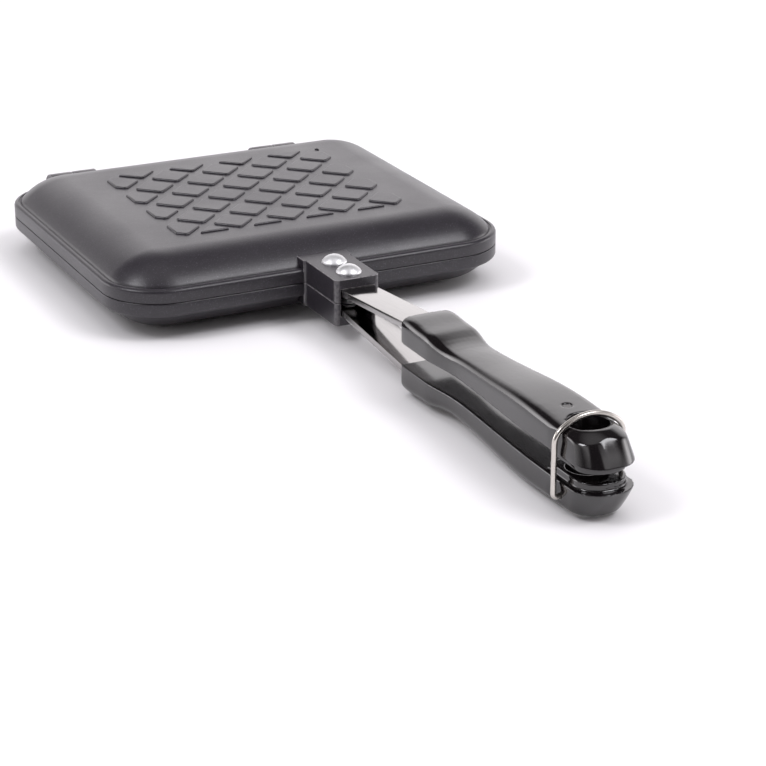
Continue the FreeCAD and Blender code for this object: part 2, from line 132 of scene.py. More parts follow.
def tint(name, default, description):
    """A colour property."""
    return bpy.props.FloatVectorProperty(name=name, description=description, default=default,
                                         size=3, min=0, max=1, subtype="COLOR")


class CastingSettings(bpy.types.PropertyGroup):
    """Sizes of one half's casting, seen with its back up and its plate's middle at the origin."""

    plate_depth: length("Plate depth", 133.8, "Plate from its front edge to its back edge")
    corner: length("Corner radius", 21.4, "Radius of the plate's corners in plan")
    flange: length("Flange thickness", 5.0, "Thickness of the flange round the dome")
    flange_edge: length("Flange edge", 1.4, "Rounding of the flange's upper edge")
    ledge: length("Ledge", 2.5, "Width of the ledge between flange edge and dome")
    crease: length("Crease", 0.45, "Radius of the crease where the dome rises from the ledge")
    dome_top: length("Dome height", 13.4, "Height of the dome's flat top over the parting plane")
    shoulder: length("Shoulder radius", 23.0, "Radius of the dome's shoulder")
    wall: length("Wall", 2.8, "Thickness of the dome's wall")
    cavity_side: length("Cavity side", 3.0, "Upright part of the cooking cavity's side")
    rim: length("Rim level", 0.1, "Height of the rim's face over the parting plane")
    rim_edge: length("Rim edge", 0.35, "Rounding of the rim's sharp edges")
    hinge_setback: length("Hinge setback", 9.5, "Hinge axis behind the plate's back edge")
    knuckle_radius: length("Knuckle radius", 5.8, "Outer radius of a hinge knuckle")
    knuckle_width: length("Knuckle width", 9.2, "Width of a hinge knuckle")
    knuckle_gap: length("Knuckle gap", 0.4, "Gap between a pair of knuckles")
    hinge_offset: length("Hinge offset", 42.4, "Middle of each hinge from the middle of the plate")
    lug_length: length("Lug length", 24.2, "Strap's lug in front of the plate")
    lug_half_width: length("Lug half width", 8.25, "Half of the lug's width")
    lug_height: length("Lug height", 8.2, "Lug's top over the parting plane")
    lug_corner: length("Lug corner", 1.6, "Rounding of the lug's front corners in plan")
    lug_flare: length("Lug flare", 0.8, "How far the lug spreads where it meets the plate")
    lug_root: length("Lug root", 7.0, "How far the lug runs into the plate")
    channel_half_width: length("Channel half width", 6.25, "Half of the strap channel's width")
    channel_top: length("Channel top", 4.8, "Roof of the strap's channel")
    channel_stop: length("Channel stop", 0.75, "From the plate's front edge to the channel's blind end")
    softness: length("Softness", 0.45, "Rounding of the lug's and knuckles' edges")


class TileSettings(bpy.types.PropertyGroup):
    """The raised diamonds on the dome's back."""

    height: length("Tile height", 0.65, "How far a diamond stands off the dome")
    sunk: length("Tile root", 0.3, "How far a diamond reaches into the dome")
    pitch: length("Pitch", 20.2, "From one diamond's middle to the next in its row")
    groove: length("Groove", 2.9, "Width of the grooves between diamonds")
    nip: length("Nip", 0.7, "Half length of the flats on a diamond's corners")
    span_left: length("Span to the left", 43.4, "From the plate's middle to the pattern's left edge")
    span_right: length("Span to the right", 45.2, "From the plate's middle to the pattern's right edge")
    span_back: length("Span to the back", 39.2, "From the plate's middle to the pattern's back edge")
    span_front: length("Span to the front", 38.4, "From the plate's middle to the pattern's front edge")
    shift_x: length("Shift across", 0.4, "Pattern's middle to the right of the plate's middle")
    shift_y: length("Shift back", -0.4, "Pattern's middle behind the plate's middle")
    draft: share("Draft", 0.95, "Size of a diamond's face against its foot")
    softness: length("Softness", 0.4, "Rounding of a diamond's upper edge")


class MetalworkSettings(bpy.types.PropertyGroup):
    """Straps, rivets and the bail's wire."""

    strap_edge: length("Strap edge", 0.5, "Rounding of the strap's long edges")
    rivet_head: length("Rivet head radius", 4.4, "Radius of a rivet's domed head")
    rivet_height: length("Rivet head height", 2.7, "Height of a rivet's domed head")
    rivet_rim: length("Rivet rim", 0.25, "Upright rim under the rivet's dome")
    wire: length("Wire radius", 0.85, "Radius of the bail's wire")
    bail_half_width: length("Bail half width", 11.2, "Middle of each leg from the grip's middle")
    bail_leg_top: length("Bail leg top", 7.5, "Straight leg's top over the parting plane")
    bail_rise: length("Bail rise", 7.5, "Arch over the straight legs")
    bail_shoulder: length("Bail shoulder", 5.5, "Radius of the arch's shoulders")
    bail_bend: length("Bail bend", 1.2, "Radius of the bend at each trunnion")
    pivot_drop: length("Pivot drop", 8.7, "Bail's pivot below the parting plane")
    trunnion_end: length("Trunnion end", 7.3, "Inner end of each trunnion from the grip's middle")


class GripSettings(bpy.types.PropertyGroup):
    """The moulded grips."""

    voxel: length("Voxel", 0.3, "Size of the grid that the grip's skin is drawn on")
    flat_lift: length("Flat lift", 0.4, "How far the outer face's long edges are raised to flatten it")
    flat_half_width: length("Flat half width", 6.4, "Half width of the flat of the outer face")
    flat_depth: length("Flat depth", 3.4, "How deep below the crown the raising fades out")
    flat_start: length("Flat start", 16, "Where the flattening sets in, from the tip")
    nose_full: length("Nose fullness", 0.5, "How far the middle of the nose stands out")
    nose_low: length("Nose foot", 3.7, "Foot of the nose over the parting plane")
    nose_high: length("Nose top", 13.0, "Top of the nose over the parting plane")
    nose_length: length("Nose length", 7, "Depth of the nose from its front")
    flat_step: length("Flat step", 1.5, "Spacing of the crown heights that the flattening follows")
    passes: bpy.props.IntProperty(name="Smoothing passes", default=14, min=0, max=40,
                                  description="How often the skin is evened out")


class FinishSettings(bpy.types.PropertyGroup):
    """Colours of the finishes."""

    coating: tint("Coating", (0.019, 0.0165, 0.021), "Non-stick coating")
    # The edge colour below stands for scuffed coating and for painted highlights on the round edges.
    worn_and_highlight: tint("Worn and highlighted edge", (0.28, 0.265, 0.275), "Coating rubbed thin along the edges")
    steel: tint("Strap steel", (0.39, 0.38, 0.375), "Bright steel of the straps")
    rivet: tint("Rivet metal", (0.93, 0.93, 0.94), "Aluminium of the rivets")
    plastic: tint("Grip plastic", (0.0048, 0.0036, 0.0042), "Black moulded grips")
    wire: tint("Bail wire", (0.62, 0.59, 0.55), "Plated wire of the bail")
    pin: tint("Pin steel", (0.11, 0.105, 0.105), "Plain steel of the pins")
    floor: tint("Floor", (0.83, 0.82, 0.825), "Table under the pan")


class StageSettings(bpy.types.PropertyGroup):
    """Camera and lights."""

    camera_place: bpy.props.FloatVectorProperty(name="Camera place", subtype="XYZ", unit="LENGTH", size=3,
                                                default=(-0.32495, -0.68315, 0.28505),
                                                description="Where the camera stands")
    turn: tilt("Turn", -26.19, "Camera's turn about the upright axis")
    pitch: tilt("Pitch", 21.76, "How far the camera looks down")
    lens: millimetres("Lens", 111.4, "Focal length in millimetres")
    sensor: millimetres("Sensor", 36, "Sensor's width in millimetres")
    surround: power("Surround", 0.055, "Light from all round")
    overhead: power("Overhead", 0.55, "Light from straight above")
    horizon: power("Backdrop", 4.5, "Light from low behind the pan")
    left_power: power("Left box", 54, "Power of the left soft box")
    right_power: power("Right box", 58, "Power of the right soft box")
    ceiling_power: power("Ceiling", 86, "Power of the ceiling's soft light")
    light_tint: tint("Backdrop tint", (1.0, 0.972, 0.99), "Colour of the light from behind")
    box_tint: tint("Box tint", (0.97, 0.96, 1.0), "Colour of the soft boxes")
    floor_size: length("Floor size", 7000, "Side of the floor")


# Placing pieces and making meshes.

def half_matrix(upper):
    """From one half's own frame, plate's middle at the origin, to the pan's, as it stands or turned over."""
    casting = bpy.context.scene.pie_casting
    hinge_y = casting.plate_depth / 2 + casting.hinge_setback + casting.knuckle_radius
    place = Matrix.Translation((0, UPPER_PAN[1].y - hinge_y, PARTING_Z))
    return place if upper else place @ Matrix.Rotation(pi, 4, "Y")


def new_piece(name, mesh, body, finish, slot, *nodes):
    """Put a finished mesh in the scene, on its body, in place of its nodes."""
    mesh.name = name
    piece = bpy.data.objects.new(name, mesh)
    bpy.context.scene.collection.objects.link(piece)
    mesh.materials.clear()
    mesh.materials.append(finish)
    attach(piece, body)
    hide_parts(*nodes)


def soften(piece_mesh, angle, flat_area=1):
    """Smooth shading, with creases kept at more than an angle and faces over an area kept flat."""
    piece_mesh.shade_smooth()
    bm = bmesh.new()
    bm.from_mesh(piece_mesh)
    for face in bm.faces:
        face.smooth = face.calc_area() < flat_area
    for edge in bm.edges:
        edge.smooth = len(edge.link_faces) == 2 and edge.calc_face_angle(0) < angle
    bm.to_mesh(piece_mesh)
    bm.free()


def bevelled(width, segments, limit):
    """A bevel for evaluated, on edges that bend by more than a limit in degrees."""
    return "BEVEL", {"width": width, "segments": segments, "limit_method": "ANGLE",
                     "angle_limit": radians(limit)}


def evaluated(name, mesh, *modifiers):
    """A mesh or curve carried through modifiers, given as (kind, values), and made a plain mesh."""
    helper = bpy.data.objects.new(name, mesh)
    bpy.context.scene.collection.objects.link(helper)
    for kind, values in modifiers:
        modifier = helper.modifiers.new(kind, kind)
        for key, value in values.items():
            if key in modifier.bl_rna.properties:
                setattr(modifier, key, value)
            else:
                modifier[key] = value
    bpy.context.view_layer.update()
    depsgraph = bpy.context.evaluated_depsgraph_get()
    result = bpy.data.meshes.new_from_object(helper.evaluated_get(depsgraph))
    bpy.data.objects.remove(helper)
    return result


def mesh_of(name, bm):
    """A mesh from a bmesh, which is used up."""
    bmesh.ops.recalc_face_normals(bm, faces=bm.faces)
    mesh = bpy.data.meshes.new(name)
    bm.to_mesh(mesh)
    bm.free()
    return mesh


def gathered(name, meshes, matrix):
    """Pairs of (mesh, rub_and_highlight) as one mesh, moved by a matrix, with each part's round edges marked
    so much for scuffed coating and painted highlights.
    """
    bm = bmesh.new()
    shares = []
    for mesh, rub_and_highlight in meshes:
        bm.from_mesh(mesh)
        shares += [rub_and_highlight] * len(mesh.vertices)
    bmesh.ops.transform(bm, matrix=matrix, verts=bm.verts)
    bm.normal_update()
    # Convex edges get the mark that lightens them, as scuffed coating and as painted highlights.
    wear_and_highlight = bm.loops.layers.float.new(WEAR_AND_HIGHLIGHT)
    for vert, rub_and_highlight in zip(bm.verts, shares):
        bends = [edge.calc_face_angle_signed(0) for edge in vert.link_edges if len(edge.link_faces) == 2]
        for loop in vert.link_loops:
            loop[wear_and_highlight] = rub_and_highlight * min(1, max([0, *bends]) / WEAR_AND_HIGHLIGHT_BEND) if loop.face.smooth else 0
    result = bpy.data.meshes.new(name)
    bm.to_mesh(result)
    bm.free()
    return result


def socket(tree, name, kind, default):
    """Add a named input to a node tree and give its identifier."""
    item = tree.interface.new_socket(name=name, in_out="INPUT", socket_type=kind)
    item.default_value = default
    return item.identifier


def geometry_tree(name):
    """An empty Geometry Nodes tree with a geometry input and output."""
    tree = bpy.data.node_groups.new(name, "GeometryNodeTree")
    tree.interface.new_socket(name="Geometry", in_out="INPUT", socket_type="NodeSocketGeometry")
    tree.interface.new_socket(name="Geometry", in_out="OUTPUT", socket_type="NodeSocketGeometry")
    return tree, tree.nodes.new("NodeGroupInput"), tree.nodes.new("NodeGroupOutput")


def finish_tree(tree, last, output, material):
    """Close a tree with Realize Instances and Set Material."""
    realize = tree.nodes.new("GeometryNodeRealizeInstances")
    paint = tree.nodes.new("GeometryNodeSetMaterial")
    paint.inputs["Material"].default_value = material
    tree.links.new(last, realize.inputs["Geometry"])
    tree.links.new(realize.outputs["Geometry"], paint.inputs["Geometry"])
    tree.links.new(paint.outputs["Geometry"], output.inputs["Geometry"])


# The casting.

def rounded_ring(half_x, half_y, radius, z, steps=14, side_steps=10):
    """Points round a rounded rectangle, counter-clockwise from above, always the same number."""
    points = []
    for quarter, (sx, sy) in enumerate(((1, 1), (-1, 1), (-1, -1), (1, -1))):
        centre = Vector((sx * (half_x - radius), sy * (half_y - radius), z))
        for step in range(steps + 1):
            turn = pi / 2 * (quarter + step / steps)
            points.append(centre + Vector((cos(turn), sin(turn), 0)) * radius)
    full = []
    for index, point in enumerate(points):
        full.append(point)
        if index % (steps + 1) == steps:
            after = points[(index + 1) % len(points)]
            full += [point.lerp(after, k / side_steps) for k in range(1, side_steps)]
    return full


def bend(centre_inset, centre_z, radius, start, end, steps):
    """Points of an arc in the section, as (inset, height); angles run from the inset axis."""
    return [(centre_inset + radius * cos(start + (end - start) * k / steps),
             centre_z + radius * sin(start + (end - start) * k / steps)) for k in range(steps + 1)]


def shell_section(c):
    """The casting's section as (inset from the plate's edge, height), from cavity roof to dome top."""
    rise = c.dome_top - c.flange
    run = sqrt(c.shoulder ** 2 - (c.shoulder - rise) ** 2)
    centre_inset = c.ledge + run
    centre_z = c.dome_top - c.shoulder
    inner = c.shoulder - c.wall
    mouth_turn = asin((c.cavity_side - centre_z) / inner)
    mouth = centre_inset - inner * cos(mouth_turn)
    edge = c.rim_edge
    points = bend(centre_inset, centre_z, -inner, -pi / 2, -mouth_turn, 12)
    points += bend(mouth - edge, c.rim + edge, edge, 0, -pi / 2, 3)
    points += bend(edge, c.rim + edge, edge, -pi / 2, -pi, 3)
    points += bend(c.flange_edge, c.flange - c.flange_edge, c.flange_edge, pi, pi / 2, 6)
    points += bend(c.ledge - c.crease, c.flange, c.crease, pi, 2 * pi, 8)[:-1]
    foot_turn = pi - asin((c.flange - centre_z) / c.shoulder)
    return points + bend(centre_inset, centre_z, c.shoulder, foot_turn, pi / 2, 20)


def shell_mesh(c):
    """Dome, flange and cavity as one closed skin of rings."""
    section = shell_section(c)
    bm = bmesh.new()
    rings = []
    for inset, z in section:
        ring = rounded_ring(PLATE_WIDTH / 2 - inset, c.plate_depth / 2 - inset, c.corner - inset, z)
        rings.append([bm.verts.new(point) for point in ring])
    count = len(rings[0])
    for low, high in zip(rings, rings[1:]):
        for k in range(count):
            bm.faces.new((low[k], low[(k + 1) % count], high[(k + 1) % count], high[k]))
    bm.faces.new(rings[0])
    bm.faces.new(rings[-1])
    mesh = mesh_of("shell", bm)
    soften(mesh, radians(30))
    return mesh


def prism(points, low, high, axis):
    """A closed prism over a flat outline, pushed along an axis."""
    bm = bmesh.new()
    shift = axis * (high - low)
    foot = [bm.verts.new(point + axis * low) for point in points]
    head = [bm.verts.new(vert.co + shift) for vert in foot]
    bm.faces.new(foot)
    bm.faces.new(head)
    for k in range(len(points)):
        after = (k + 1) % len(points)
        bm.faces.new((foot[k], foot[after], head[after], head[k]))
    return mesh_of("prism", bm)


def lug_mesh(c):
    """The strap's channel: a block with rounded front corners, open below and to the front."""
    plate = -c.plate_depth / 2
    front = plate - c.lug_length
    back = plate + c.lug_root
    half = c.lug_half_width
    flare = c.lug_flare
    r = c.lug_corner
    turns = [pi / 2 * k / 5 for k in range(6)]
    spread = [Vector((-half - flare * (1 - sin(turn)), plate - flare * (1 - cos(turn)), 0)) for turn in turns]
    outline = [Vector((half + flare, back, 0)), Vector((-half - flare, back, 0)), *spread]
    for sx, start in ((-1, pi), (1, 1.5 * pi)):
        centre = Vector((sx * (half - r), front + r, 0))
        outline += [centre + Vector((cos(start + turn), sin(start + turn), 0)) * r for turn in turns]
    outline += [Vector((-point.x, point.y, 0)) for point in reversed(spread)]
    block = prism(outline, c.rim, c.lug_height, UP)
    w = c.channel_half_width
    inside = plate - c.channel_stop
    room = [Vector((x, y, 0)) for x, y in ((w, inside), (-w, inside), (-w, front - r), (w, front - r))]
    cutter = bpy.data.objects.new("channel", prism(room, -r, c.channel_top, UP))
    bpy.context.scene.collection.objects.link(cutter)
    mesh = evaluated("lug", block, ("BOOLEAN", {"operation": "DIFFERENCE", "object": cutter}),
                     bevelled(c.softness, 3, 35))
    bpy.data.objects.remove(cutter)
    soften(mesh, radians(40), FLAT_AREA)
    return mesh


def knuckle_mesh(c, middle):
    """One knuckle with its arm: a drop-shaped outline pushed across."""
    hinge_y = c.plate_depth / 2 + c.hinge_setback
    r = c.knuckle_radius
    back = c.plate_depth / 2 - c.corner / 2
    low = pi - asin(c.rim / r)
    high = pi - asin(c.flange / r)
    outline = [Vector((0, back, c.rim))]
    for k in range(41):
        turn = low + (high + 2 * pi - low) * k / 40
        outline.append(Vector((0, hinge_y + r * cos(turn), r * sin(turn))))
    outline.append(Vector((0, back, c.flange)))
    body = prism(outline, middle - c.knuckle_width / 2, middle + c.knuckle_width / 2, ACROSS)
    mesh = evaluated("knuckle", body, bevelled(c.softness, 3, 35))
    soften(mesh, radians(40), FLAT_AREA)
    return mesh


def clipped(points, low, high):
    """A convex outline cut to an upright rectangle."""
    for axis in (0, 1):
        for limit, keep in ((low[axis], 1), (high[axis], -1)):
            kept = []
            for k, point in enumerate(points):
                before = points[k - 1]
                inside = keep * (point[axis] - limit) >= 0
                was_inside = keep * (before[axis] - limit) >= 0
                if inside != was_inside:
                    kept.append(before.lerp(point, (limit - before[axis]) / (point[axis] - before[axis])))
                if inside:
                    kept.append(point)
            points = kept
    return points


def tile_outlines(t):
    """The diamonds' feet on a grid of half pitches, cut square at the pattern's borders."""
    reach = t.pitch / 2 - t.groove / sqrt(2)
    low = Vector((-t.span_left, -t.span_front, 0))
    high = Vector((t.span_right, t.span_back, 0))
    steps = range(-TILE_REACH, TILE_REACH + 1)
    places = [(i, j) for i in steps for j in steps if (i + j) % 2] + [STRAY_TILE]
    outlines = []
    for i, j in places:
        middle = Vector((t.shift_x + i * t.pitch / 2, t.shift_y + j * t.pitch / 2, 0))
        corners = []
        for quarter in range(4):
            out = Vector((cos(pi / 2 * quarter), sin(pi / 2 * quarter), 0))
            side = Vector((-out.y, out.x, 0))
            flat = middle + out * (reach - t.nip)
            corners += [flat - side * t.nip, flat + side * t.nip]
        outline = clipped(corners, low, high)
        if len(outline) > 2:
            outlines.append(outline)
    return outlines


def tile_tree(material):
    """Raises each outline to a diamond with drafted sides."""
    tree, entry, output = geometry_tree("diamond_tiles")
    names = {"Height": socket(tree, "Height", "NodeSocketFloat", MM),
             "Draft": socket(tree, "Draft", "NodeSocketFloat", 1)}
    raise_up = tree.nodes.new("GeometryNodeExtrudeMesh")
    raise_up.mode = "FACES"
    raise_up.inputs["Individual"].default_value = True
    scale = tree.nodes.new("GeometryNodeScaleElements")
    flip = tree.nodes.new("GeometryNodeFlipFaces")
    join = tree.nodes.new("GeometryNodeJoinGeometry")
    merge = tree.nodes.new("GeometryNodeMergeByDistance")
    merge.inputs["Distance"].default_value = SMALL
    link = tree.links.new
    link(entry.outputs["Geometry"], raise_up.inputs["Mesh"])
    link(entry.outputs["Height"], raise_up.inputs["Offset Scale"])
    link(raise_up.outputs["Mesh"], scale.inputs["Geometry"])
    link(raise_up.outputs["Top"], scale.inputs["Selection"])
    link(entry.outputs["Draft"], scale.inputs["Scale"])
    link(entry.outputs["Geometry"], flip.inputs["Mesh"])
    link(scale.outputs["Geometry"], join.inputs["Geometry"])
    link(flip.outputs["Mesh"], join.inputs["Geometry"])
    link(join.outputs["Geometry"], merge.inputs["Geometry"])
    finish_tree(tree, merge.outputs["Geometry"], output, material)
    return tree, names


def tiles_mesh(c, t, material):
    """All diamonds of one half."""
    bm = bmesh.new()
    for outline in tile_outlines(t):
        bm.faces.new([bm.verts.new(Vector((p.x, p.y, c.dome_top - t.sunk))) for p in outline])
    bmesh.ops.recalc_face_normals(bm, faces=bm.faces)
    for face in bm.faces:
        if face.normal.z < 0:
            face.normal_flip()
    mesh = bpy.data.meshes.new("tile_feet")
    bm.to_mesh(mesh)
    bm.free()
    tree, names = tile_tree(material)
    sizes = {names["Height"]: t.height + t.sunk, names["Draft"]: t.draft}
    result = evaluated("tiles", mesh, ("NODES", {"node_group": tree, **sizes}), bevelled(t.softness, 3, 40))
    soften(result, radians(40), TILE_FLAT_AREA)
    return result


# Rivets, bail and what is carried over from the frame's nodes.

def lathe(section, steps=48):
    """A closed turned form from (radius, height) points, from one pole to the other."""
    bm = bmesh.new()
    rings = []
    for radius, z in section:
        if radius < SMALL:
            rings.append([bm.verts.new((0, 0, z))])
        else:
            turns = [2 * pi * k / steps for k in range(steps)]
            rings.append([bm.verts.new((radius * cos(turn), radius * sin(turn), z)) for turn in turns])
    for low, high in zip(rings, rings[1:]):
        for k in range(steps):
            after = (k + 1) % steps
            corners = [low[k % len(low)], low[after % len(low)], high[after % len(high)], high[k % len(high)]]
            corners = list(dict.fromkeys(corners))
            if len(corners) > 2:
                bm.faces.new(corners)
    mesh = mesh_of("turned", bm)
    soften(mesh, radians(35))
    return mesh


def cap_section(radius, height, rim, steps):
    """A dome's section over an upright rim, from the rim's foot to the pole."""
    rise = height - rim
    ball = (radius ** 2 + rise ** 2) / (2 * rise)
    first = asin(radius / ball)
    points = [(radius, 0)]
    for k in range(steps + 1):
        turn = first * (1 - k / steps)
        points.append((ball * sin(turn), rim + ball * cos(turn) - ball + rise))
    return points


def rivet_tree(rivet, material):
    """Puts a rivet on every point, each turned a little differently."""
    tree, entry, output = geometry_tree("rivets")
    info = tree.nodes.new("GeometryNodeObjectInfo")
    info.inputs["Object"].default_value = rivet
    place = tree.nodes.new("GeometryNodeInstanceOnPoints")
    turn = tree.nodes.new("FunctionNodeRandomValue")
    turn.data_type = "FLOAT"
    turn.inputs[2].default_value = 0
    turn.inputs[3].default_value = 2 * pi
    turn.inputs["Seed"].default_value = 3
    axis = tree.nodes.new("ShaderNodeCombineXYZ")
    link = tree.links.new
    link(entry.outputs["Geometry"], place.inputs["Points"])
    link(info.outputs["Geometry"], place.inputs["Instance"])
    link(turn.outputs[1], axis.inputs["Z"])
    link(axis.outputs["Vector"], place.inputs["Rotation"])
    finish_tree(tree, place.outputs["Instances"], output, material)
    return tree


def wire_tree(material):
    """Sweeps a round wire along a curve."""
    tree, entry, output = geometry_tree("bent_wire")
    names = {"Radius": socket(tree, "Radius", "NodeSocketFloat", MM),
             "Sides": socket(tree, "Sides", "NodeSocketInt", 24)}
    circle = tree.nodes.new("GeometryNodeCurvePrimitiveCircle")
    sweep = tree.nodes.new("GeometryNodeCurveToMesh")
    sweep.inputs["Fill Caps"].default_value = True
    smooth = tree.nodes.new("GeometryNodeSetShadeSmooth")
    link = tree.links.new
    link(entry.outputs["Radius"], circle.inputs["Radius"])
    link(entry.outputs["Sides"], circle.inputs["Resolution"])
    link(entry.outputs["Geometry"], sweep.inputs["Curve"])
    link(circle.outputs["Curve"], sweep.inputs["Profile Curve"])
    link(sweep.outputs["Mesh"], smooth.inputs["Geometry"])
    finish_tree(tree, smooth.outputs["Geometry"], output, material)
    return tree, names


def bail_line(m, y):
    """The wire's middle line, from the left trunnion's end to the right one's."""
    side = m.bail_half_width - m.bail_shoulder
    crown = m.bail_rise - m.bail_shoulder
    large = (side ** 2 + m.bail_rise ** 2 - m.bail_shoulder ** 2) / (2 * crown)
    middle_z = m.bail_leg_top + m.bail_rise - large
    join = acos((m.bail_leg_top - middle_z) / (large - m.bail_shoulder))
    foot = m.bail_half_width - m.bail_bend
    bend_z = m.bail_bend - m.pivot_drop
    half = [(m.trunnion_end, -m.pivot_drop)]
    half += [(foot + m.bail_bend * sin(turn), bend_z - m.bail_bend * cos(turn))
             for turn in (pi / 2 * k / 6 for k in range(7))]
    half += [(m.bail_half_width, m.bail_leg_top * k / 4) for k in range(4)]
    half += [(side + m.bail_shoulder * sin(turn), m.bail_leg_top + m.bail_shoulder * cos(turn))
             for turn in (pi / 2 + (join - pi / 2) * k / 9 for k in range(10))]
    half += [(large * sin(turn), middle_z + large * cos(turn))
             for turn in (join * (1 - k / 9) for k in range(1, 9))]
    line = [Vector((-x, y, PARTING_Z + z)) for x, z in half]
    line.append(Vector((0, y, PARTING_Z + m.bail_leg_top + m.bail_rise)))
    return line + [Vector((x, y, PARTING_Z + z)) for x, z in reversed(half)]


def reshape(mesh, g):
    """Give a grip's skin a flatter outer face behind the tip and a fuller nose."""
    bm = bmesh.new()
    bm.from_mesh(mesh)
    bm.normal_update()
    front = min(vert.co.y for vert in bm.verts)
    crowns = {}
    for vert in bm.verts:
        step = round((vert.co.y - front) / g.flat_step)
        crowns[step] = max(crowns.get(step, 0), abs(vert.co.z - PARTING_Z))
    for vert in bm.verts:
        out = 1 if vert.co.z > PARTING_Z else -1
        along = (vert.co.y - front) / g.flat_step
        step = int(along)
        crown = crowns[step] + (along - step) * (crowns.get(step + 1, crowns[step]) - crowns[step])
        depth = crown - abs(vert.co.z - PARTING_Z)
        near_edge = min(1, abs(vert.co.x) / g.flat_half_width) ** 2
        near_top = min(1, max(0, 1 - depth / g.flat_depth))
        past_tip = min(1, max(0, (vert.co.y - front) / g.flat_start - 1))
        vert.co.z += out * g.flat_lift * near_edge * near_top * past_tip
        level = min(1, max(0, (abs(vert.co.z - PARTING_Z) - g.nose_low) / (g.nose_high - g.nose_low)))
        facing = max(0, -vert.normal.y) * min(1, max(0, 2 - (vert.co.y - front) / g.nose_length))
        vert.co.y -= g.nose_full * sin(pi * level) * facing
    bm.to_mesh(mesh)
    bm.free()


def node_copy(node):
    """A joined-up copy of a frame node's mesh."""
    bm = bmesh.new()
    bm.from_mesh(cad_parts[node].data)
    bmesh.ops.remove_doubles(bm, verts=bm.verts, dist=SMALL)
    bmesh.ops.dissolve_limit(bm, angle_limit=radians(0.4), verts=bm.verts, edges=bm.edges)
    mesh = bpy.data.meshes.new(node)
    bm.to_mesh(mesh)
    bm.free()
    return mesh


# Finishes.

def new_finish(name):
    """A material with a plain Principled surface: itself, its tree, its shader and its place socket."""
    material = bpy.data.materials.new(name)
    material.use_nodes = True
    nodes = material.node_tree.nodes
    shader = nodes["Principled BSDF"]
    place = nodes.new("ShaderNodeTexCoord")
    return material, material.node_tree, shader, place.outputs["Object"]


def noise(tree, place, scale, detail=2, roughness=0.5, stretch=None):
    """Noise at a scale per metre, optionally stretched along the axes."""
    if stretch is not None:
        mapping = tree.nodes.new("ShaderNodeMapping")
        mapping.inputs["Scale"].default_value = stretch
        tree.links.new(place, mapping.inputs["Vector"])
        place = mapping.outputs["Vector"]
    node = tree.nodes.new("ShaderNodeTexNoise")
    node.inputs["Scale"].default_value = scale
    node.inputs["Detail"].default_value = detail
    node.inputs["Roughness"].default_value = roughness
    tree.links.new(place, node.inputs["Vector"])
    return node.outputs["Fac"]


def ramp(tree, value, stops):
    """A value carried through (place, brightness) stops."""
    node = tree.nodes.new("ShaderNodeValToRGB")
    elements = node.color_ramp.elements
    while len(elements) < len(stops):
        elements.new(0.5)
    for element, (position, level) in zip(elements, stops):
        element.position = position
        element.color = (level, level, level, 1)
    tree.links.new(value, node.inputs["Fac"])
    return node.outputs["Color"]


def arithmetic(tree, operation, *values):
    """The outcome of a Math node on sockets and plain numbers."""
    node = tree.nodes.new("ShaderNodeMath")
    node.operation = operation
    for value, target in zip(values, node.inputs):
        if isinstance(value, bpy.types.NodeSocket):
            tree.links.new(value, target)
        else:
            target.default_value = value
    return node.outputs["Value"]


def vector_arithmetic(tree, operation, output, vector, other=None):
    """One output of a Vector Math node on a socket and, where it takes one, a plain vector."""
    node = tree.nodes.new("ShaderNodeVectorMath")
    node.operation = operation
    tree.links.new(vector, node.inputs[0])
    if other is not None:
        node.inputs[1].default_value = other
    return node.outputs[output]


def span(tree, value, low, high, from_low=0, from_high=1):
    """A value carried from one span to another, held at its ends."""
    node = tree.nodes.new("ShaderNodeMapRange")
    node.inputs["From Min"].default_value = from_low
    node.inputs["From Max"].default_value = from_high
    node.inputs["To Min"].default_value = low
    node.inputs["To Max"].default_value = high
    tree.links.new(value, node.inputs["Value"])
    return node.outputs["Result"]


def mixed(tree, amount, first, second):
    """Two colours mixed by a value."""
    node = tree.nodes.new("ShaderNodeMix")
    node.data_type = "RGBA"
    tree.links.new(amount, node.inputs["Factor"])
    for name, colour in (("A", first), ("B", second)):
        target = [s for s in node.inputs if s.name == name and s.type == "RGBA"][0]
        if isinstance(colour, bpy.types.NodeSocket):
            tree.links.new(colour, target)
        else:
            target.default_value = (*colour, 1)
    return [s for s in node.outputs if s.type == "RGBA"][0]


def bump(tree, shader, *layers):
    """Stacked bumps of (height, depth in metres, strength) on a shader."""
    before = None
    for height, depth, strength in layers:
        node = tree.nodes.new("ShaderNodeBump")
        node.inputs["Distance"].default_value = depth
        node.inputs["Strength"].default_value = strength
        tree.links.new(height, node.inputs["Height"])
        if before is not None:
            tree.links.new(before, node.inputs["Normal"])
        before = node.outputs["Normal"]
    tree.links.new(before, shader.inputs["Normal"])


def scaled(colour, factor):
    """A colour made lighter or darker."""
    return tuple(min(1, channel * factor) for channel in colour)


